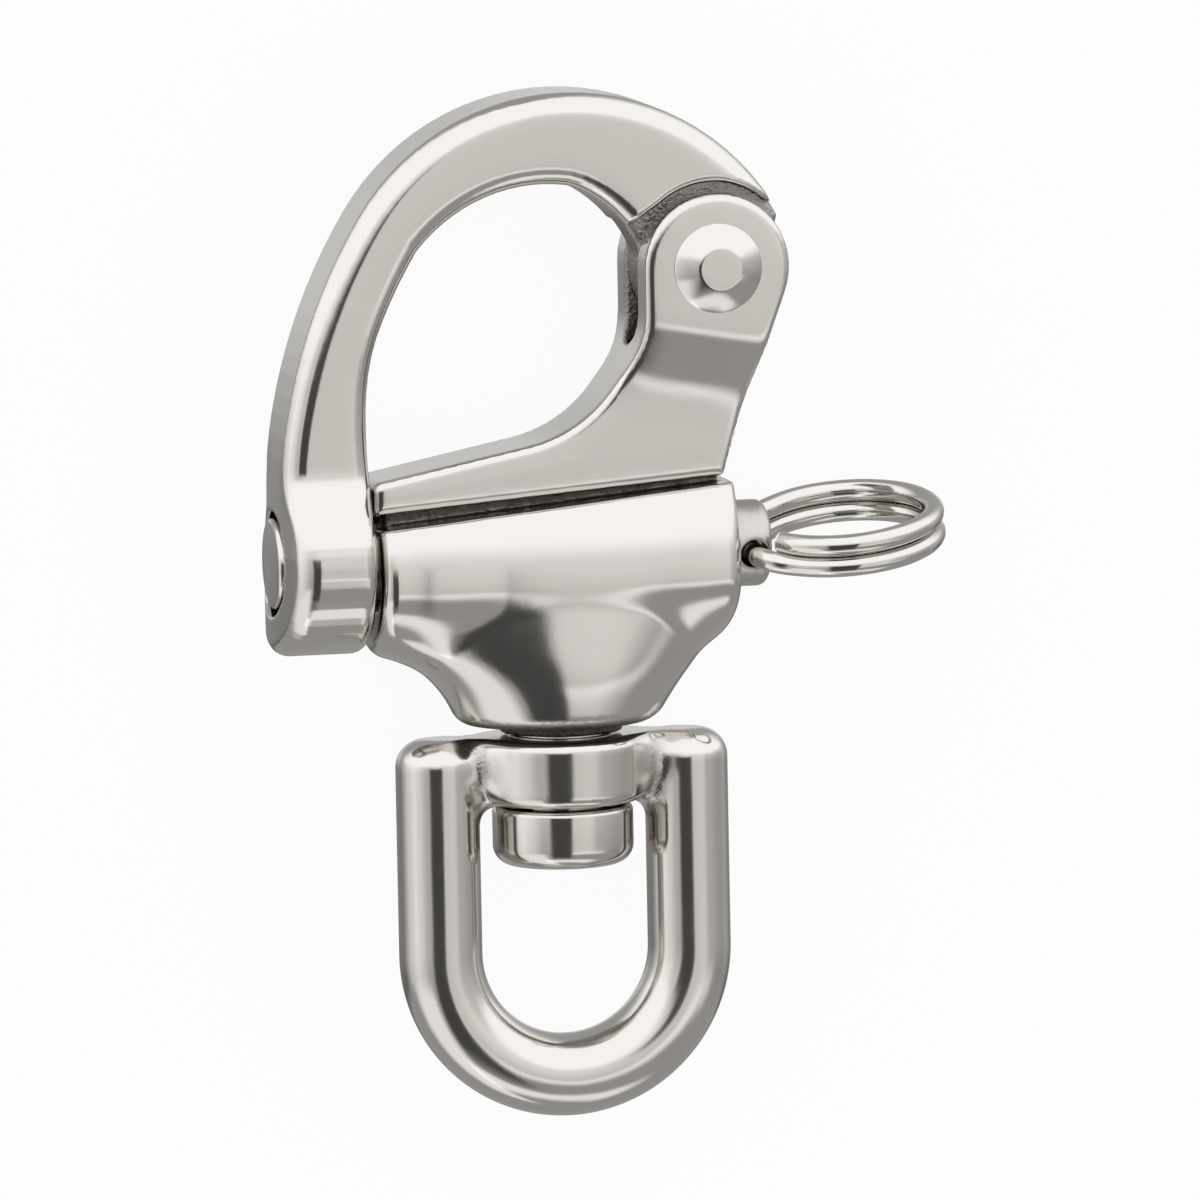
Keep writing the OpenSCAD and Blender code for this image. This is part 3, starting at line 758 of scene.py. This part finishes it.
def turned(profile, origin, axis, steps=96):
    """Point at profile (r, s) and angle a: origin + s axis + r (cos a u + sin a v)."""
    profile = np.array(profile, float)
    axis = unit(axis)
    u = unit(np.cross(axis, [0.3, 0.5, 0.8]))
    v = np.cross(axis, u)
    a = np.linspace(0, 2 * np.pi, steps, endpoint=False)
    around = np.cos(a)[:, None] * u + np.sin(a)[:, None] * v
    r, s = profile[1:-1, 0, None, None], profile[1:-1, 1, None, None]
    rings = np.asarray(origin) + s * axis + r * around
    return closed_tube(rings, origin + profile[[0, -1], 1:] * axis)


pin = turned([[0, 0], [1, 0], [1, 2], [0, 2]], [0, 0, 0], [0, 0, 1])
print("a plain test pin has", len(pin[0]), "vertices and", len(pin[1]), "faces")

# %% [markdown]
# ## Rivet and stud
# The rivet's heads are formed cold by a tool that leaves a small flat on the dome. The
# stud has a thick head under the eye's boss, with a large round at its end, and a
# thinner neck that goes up through the eye into the casting.


# %% Rivet and stud
def rivet_head(r, h, s, up):
    """Rivet head over the face at s: a rim, a dome whose slope grows from 24 to 35
    degrees outwards, and the tool's flat, with a small round where they meet."""
    across = np.linspace(1.95, r - 0.12, 14)
    fall = np.tan(np.radians(np.linspace(24, 35, 14)))
    drop = np.concatenate([[0], np.cumsum(np.diff(across) * (fall[1:] + fall[:-1]) / 2)])
    dome = np.stack([across, h - 0.06 - drop], 1)[::-1]
    flat = [[1.86, h - 0.025], [1.77, h - 0.006], [1.68, h], [0.8, h], [0, h]]
    head = np.concatenate([[[r, 0], [r, dome[0, 1] - 0.1]], dome, flat])
    head[:, 1] = s + up * head[:, 1]
    return head


rivet_head_r, rivet_head_h, head_z = 3.85, 1.25, cheek_z + 0.02
rivet_profile = np.concatenate([
    rivet_head(rivet_head_r, rivet_head_h, -head_z, -1)[::-1], [[rivet_r, -head_z], [rivet_r, head_z]],
    rivet_head(rivet_head_r, rivet_head_h, head_z, 1)])
piece("rivet_turned", turned(rivet_profile, [*rivet, 0], [0, 0, 1]), "casting", turned_steel,
      "bail_rivet", sharp=50)

stud_head_r, stud_head_y, stud_end_y = stud_high[0], stud_low[1], stud_high[1]
head_top, neck_top = boss_y - 0.3, eye_top + 0.15
stud_profile = np.concatenate([
    [[0, stud_head_y]], arc([stud_head_r - 1.7, stud_head_y + 1.7], 1.7, -90, 0, 10),
    arc([stud_head_r - 0.6, head_top - 0.6], 0.6, 0, 90, 5),
    [[neck_r, head_top], [neck_r, neck_top], [stud_r, neck_top], [stud_r, stud_end_y], [0, stud_end_y]]])
piece("stud_turned", turned(stud_profile, [0, 0, 0], [0, 1, 0]), "casting", turned_steel,
      "swivel_stud", sharp=40)

# %% [markdown]
# ## The plunger, locked
# In the CAD the nose ends at the casting, so that the bail can swing in the simulation.
# The real nose goes on through the bail's barrel and locks it, so the visible plunger
# has its full length here. Pulled back by the ring, it clears the barrel again.

# %% Plunger
nose_x0, nose_x1 = barrel_x0 + 0.15, latch_x + 8
shank_end = knob_high[0] - 0.3
pin_profile = np.concatenate([
    [[0, nose_x0]], arc([nose_r - 0.35, nose_x0 + 0.35], 0.35, -90, 0, 4),
    [[nose_r, nose_x1], [shank_r, nose_x1], [shank_r, shank_end], [0, shank_end]]])
piece("plunger_turned", turned(pin_profile, [0, plunger_y, 0], [1, 0, 0]), "plunger", turned_steel,
      "plunger_pin", sharp=40)

# %% [markdown]
# ## The knob
# A small casting on the shank's end, left rough. Its cross hole for the ring has rounded
# edges, which a boolean would leave sharp, so it is a level surface on a fine grid.

# %% Knob
cross_hole_r = 1.2


def knob_field(x, y, z):
    """A short cylinder with rounded edges, the shank's hole and the ring's cross hole."""
    t = y - plunger_y
    about_x = np.hypot(t, z)
    knob = meet(meet(about_x - knob_r, knob_low[0] - x, 0.35), x - knob_high[0], 0.9)
    knob = np.maximum(knob, shank_r - about_x)
    along = t * ring_hinge[1] + z * ring_hinge[2]
    from_hinge = np.sqrt(np.maximum((x - hole_x) ** 2 + t ** 2 + z ** 2 - along ** 2, 0))
    return meet(knob, cross_hole_r - from_hinge, 0.3)


knob_centre = [(knob_low[0] + knob_high[0]) / 2, plunger_y, 0]
knob_half = np.array([(knob_high[0] - knob_low[0]) / 2, knob_r, knob_r]) + 0.6
shape = skin(knob_field, knob_centre - knob_half, knob_centre + knob_half, 0.12)
piece("knob_cast", shape, "plunger", rough_steel, "plunger_knob")

# %% [markdown]
# ## The split ring: its path
# One wire is wound twice. The path is two coils side by side and, between them, a short
# stretch through the cross hole. It is laid out in the ring's own plane, evened out as a
# spring wire would be, and then turned to the angle at which the ring hangs.

# %% Split ring: the path
wire_r, ring_r, ring_reach = 0.925, 7.9, 8.8  # wire, coil, and from the hole to the coil's centre


def coil(a0, a1, w):
    """A coil in the ring's own plane, w off its middle plane."""
    turn = on_circle([ring_reach, 0], ring_r, np.linspace(180 - a0, 180 - a1, 90))
    return np.column_stack([turn, np.full(90, w)])


def spaced(route, count):
    """The same line with evenly spaced points."""
    length = np.concatenate([[0], np.cumsum(np.linalg.norm(np.diff(route, axis=0), axis=1))])
    even = np.linspace(0, length[-1], count)
    return np.stack([np.interp(even, length, route[:, k]) for k in range(3)], 1)


def smooth(path, times=60):
    """Evens the path out: each inner point moves towards the middle of its neighbours."""
    for _ in range(times):
        path[1:-1] += 0.5 * ((path[:-2] + path[2:]) / 2 - path[1:-1])
    return path


side_w, out_v, bend = wire_r + 0.02, knob_r + 0.2, 1.1
half_crossing = np.array([[1.25, out_v + bend, -0.6 * side_w], [0.4, out_v + 0.75 * bend, -0.3 * side_w],
                          [0, out_v, -0.1 * side_w]])
crossing = np.concatenate([half_crossing * [1, -1, -1], [[0, 0, 0]], half_crossing[::-1]])
route = np.concatenate([coil(33, 319, side_w), crossing, coil(41, 327, -side_w)])
route = smooth(spaced(route, 420))

hang = math.radians(6)
along_hole = unit(ring_hinge)
across = np.cross(along_hole, [1, 0, 0])
towards = math.cos(hang) * np.array([1, 0, 0]) + math.sin(hang) * across
plane = np.stack([towards, along_hole, np.cross(along_hole, towards)])
ring_path = np.array([hole_x, plunger_y, 0]) + route @ plane
print(f"the ring is {2 * (ring_r + wire_r):.1f} mm across, of {2 * wire_r:.2f} mm wire")

# %% [markdown]
# ## The split ring: its wire
# The wire is a circle carried along that path. A curve object with a round bevel could
# make it too, but would leave its cut ends flat and sharp. Here the last rings shrink, so
# that the ends are slightly rounded, as after tumbling.


# %% Split ring: the wire
def swept(path, r, sides=20):
    """A circle of radius r square to the path: path + r (cos a u - sin a v)."""
    along = unit(np.gradient(path, axis=0))
    u = unit(np.cross(along, [0, 1, 0.02]))
    v = np.cross(u, along)
    a = np.linspace(0, 2 * np.pi, sides, endpoint=False)
    around = np.cos(a)[None, :, None] * u[:, None] - np.sin(a)[None, :, None] * v[:, None]
    width = np.array([0.55, 0.85, 1.0])[:, None, None]
    back = 0.6 * r * np.array([-0.3, -0.18, 0.0])[:, None, None]
    start = path[0] + back * along[0] + r * width * around[0]
    end = path[-1] - back[::-1] * along[-1] + r * width[::-1] * around[-1]
    rings = np.concatenate([start, path[:, None] + r * around, end])
    return closed_tube(rings, [rings[0].mean(0), rings[-1].mean(0)])


piece("split_ring_wire", swept(ring_path, wire_r), "ring", wire_steel, "split_ring")

# %% [markdown]
# ## The spring
# The coil spring sits in the casting's chamber, out of sight. Its CAD solid is good
# enough, so it is kept and only gets the metal of drawn wire.

# %% Spring
spring = frame["nodes"]["plunger_spring"]
spring.data.materials.clear()
spring.data.materials.append(wire_steel)
print("spring:", spring.name, "in", wire_steel.name)

# %% [markdown]
# ## The camera
# Small metal parts are taken with a long lens from far away, so that nothing looks
# bent. The camera looks down on the shackle from a little to its left and above.

# %% Camera
yaw, lift, roll = math.radians(12.3), math.radians(7.0), math.radians(1.1)
lens, distance = 417.6, 1200.0
aside, down = 3.664, 4.224
view = np.array([-math.sin(yaw) * math.cos(lift), math.sin(lift), math.cos(yaw) * math.cos(lift)])
right = unit(np.cross([0, 1, 0], view))
up = np.cross(view, right)
right, up = (math.cos(roll) * right - math.sin(roll) * up,
             math.sin(roll) * right + math.cos(roll) * up)
aim = np.array([0, plunger_y, 0]) + aside * right - down * up
camera_data = bpy.data.cameras.new("camera")
camera_data.sensor_width, camera_data.lens = 36, lens
camera_data.clip_start, camera_data.clip_end = 0.01, 10
camera = bpy.data.objects.new("camera", camera_data)
bpy.context.scene.collection.objects.link(camera)
stand = Matrix.Translation(Vector(((aim + distance * view) * MM).tolist()))
camera.matrix_world = stand @ Matrix(np.stack([right, up, view], 1).tolist()).to_4x4()
bpy.context.scene.camera = camera
print("camera axes:", right.round(3), up.round(3), view.round(3))

# %% [markdown]
# ## Floor and world
# The shackle lies on white paper in even light. Its background is plain white: for rays
# from the camera, or from a reflection, the world and most of the paper's light is white
# of strength 1. All other rays see a softer world and matt paper, so the object isn't
# lit more by it and its soft shadow stays.


# %% Floor and world
def seen(tree):
    """1 for rays from the camera and through gloss or glass, and 0 for all others."""
    path = add(tree, "ShaderNodeLightPath").outputs
    share = path["Is Camera Ray"]
    for ray in ("Is Glossy Ray", "Is Transmission Ray"):
        share = add(tree, "ShaderNodeMath", {0: share, 1: path[ray]}, operation="MAXIMUM").outputs[0]
    return share


def mixed_shader(tree, factor, a, b):
    """Shader a where the factor is 0 and b where it is 1."""
    return add(tree, "ShaderNodeMixShader", {"Fac": factor, 1: a.outputs[0], 2: b.outputs[0]}).outputs[0]


white = (1, 1, 1, 1)
world = bpy.data.worlds.new("studio")
bpy.context.scene.world = world
world.use_nodes = True
tree = world.node_tree
tree.nodes.clear()
soft = add(tree, "ShaderNodeBackground", {"Color": white, "Strength": 0.8})
bright = add(tree, "ShaderNodeBackground", {"Color": white, "Strength": 1.0})
add(tree, "ShaderNodeOutputWorld", {"Surface": mixed_shader(tree, seen(tree), soft, bright)})

paper, tree = new_material("white_paper")
matt = add(tree, "ShaderNodeBsdfDiffuse", {"Color": (0.9, 0.9, 0.9, 1)})
glow = add(tree, "ShaderNodeEmission", {"Color": white, "Strength": 1.0})
share = add(tree, "ShaderNodeMath", {0: seen(tree), 1: 0.93}, operation="MULTIPLY").outputs[0]
add(tree, "ShaderNodeOutputMaterial", {"Surface": mixed_shader(tree, share, matt, glow)})

half_side = 3000
floor_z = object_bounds()[0][2] / MM - 0.3
corners = np.array([[-1, -1, 0], [1, -1, 0], [1, 1, 0], [-1, 1, 0]]) * half_side + [0, 0, floor_z]
floor = mesh_object("floor", corners, [(0, 1, 2, 3)], paper)
floor.visible_glossy = False
print(f"floor at z {floor_z:.2f} mm, {2 * half_side} mm wide")

# %% [markdown]
# ## The light tent
# Polished metal shows what is round it, so the tent matters as much as the metal. It is
# a big sphere whose inside is bright above and at the left, grey elsewhere, and dark
# round the lens. It could be built from area lamps, but one brightness for each
# direction is easier to shape, and only reflections see it, so it lights nothing else.


# %% Light tent: brightness
def ramp(v, stops):
    """A smooth run of levels: [angle, level] stops with eased steps between."""
    angles, levels = np.array(stops, float).T
    out = np.full(np.shape(v), levels[0])
    for a0, a1, step in zip(angles[:-1], angles[1:], np.diff(levels)):
        out = out + step * ease(v, a0, a1)
    return out


def within(v, a, b, c, d):
    """1 between b and c, with soft edges down to 0 at a and d."""
    return ease(v, a, b) * ease(v, d, c)


def tent_light(d):
    """Brightness of the tent in the direction d, as soft-edged panels. east is the angle
    from +Z towards +X, north the angle from +Z towards +Y, lift the angle over the X-Z plane."""
    east = np.degrees(np.arctan2(d[..., 0], d[..., 2]))
    north = np.degrees(np.arctan2(d[..., 1], np.abs(d[..., 2])))
    lift = np.degrees(np.arcsin(np.clip(d[..., 1], -1, 1)))
    # round the tent at the level of the lens: a softbox on the left, a weaker one ahead
    light = ramp(east, [[-180, 0.28], [-135, 0.28], [-97, 0.9], [-80, 1.12], [-66, 0.95],
                        [-42, 0.6], [-32, 0.6], [4, 0.8], [31, 0.86], [50, 0.58],
                        [90, 0.45], [112, 0.5], [135, 0.3], [180, 0.28]])
    light += 0.013 * np.clip(lift + 7, -9, 12)
    # the top softbox, over the whole front
    top = ease(north, 5, 26) * ease(lift, 4, 20)
    light += (1.4 - light) * top * ease(np.abs(east), 150, 100)
    # the backdrop behind, brighter above the shackle than beside it
    behind = ease(np.abs(east), 140, 158) * (1 - top)
    light += behind * (0.27 * ease(lift, -6, 5) - 0.42 * ease(lift, 15, 24))
    # below: a grey card with a white one at its left, and two bright strips
    card = 0.39 + 0.72 * within(east, -112, -85, -50, -33)
    light += (card - light) * ease(lift, -17, -25)
    light += 0.75 * within(lift, -76, -65, -57, -49) * ease(np.abs(east - 10), 75, 45)
    light += 0.45 * within(lift, -29, -20, -17, -11) * within(east, -2, 4, 50, 70)
    # the dark lens and the person behind it
    lens = within(east, -35, -29, 1, 5) * within(lift, -56, -32, 3, 11)
    return light + (0.07 - light) * lens


# %% [markdown]
# ## The tent's cloth
# The sphere's poles lie on the Y axis, and each vertex keeps its own brightness, which
# the cloth gives off. Bright daylight lamps are slightly cooler than the grey card, so
# the strongest panels turn a little blue.

# %% Light tent: the sphere
tent_r, n_east, n_north = 2500, 360, 180
theta = np.linspace(0, np.pi, n_north + 1)[:, None]
phi = np.linspace(0, 2 * np.pi, n_east, endpoint=False)
directions = np.stack([np.sin(theta) * np.sin(phi), np.cos(theta) + 0 * phi, np.sin(theta) * np.cos(phi)], -1)
level = tent_light(directions).reshape(-1)

cloth, tree = new_material("tent_cloth")
panel = add(tree, "ShaderNodeAttribute", attribute_name="panel").outputs["Fac"]
cool = add(tree, "ShaderNodeMapRange", {"Value": panel, "From Min": 0.85, "From Max": 1.4}).outputs["Result"]
colour = mixed_colour(tree, cool, white, (0.985, 1, 1.04, 1))
glow = add(tree, "ShaderNodeEmission", {"Strength": panel, "Color": colour})
add(tree, "ShaderNodeOutputMaterial", {"Surface": glow.outputs[0]})

points = np.array([0, plunger_y, 0]) + tent_r * directions.reshape(-1, 3)
tent = mesh_object("light_tent", points, grid_quads(n_north + 1, n_east), cloth)
set_attribute(tent, "panel", level)
for ray in ("camera", "diffuse", "transmission", "shadow", "volume_scatter"):
    setattr(tent, "visible_" + ray, False)
print(f"tent: {len(level)} vertices, brightness {level.min():.2f} to {level.max():.2f}")

# %% [markdown]
# ## Finish
# The render shows its colours with the Standard view transform.

# %% Finish
bpy.context.scene.view_settings.view_transform = "Standard"
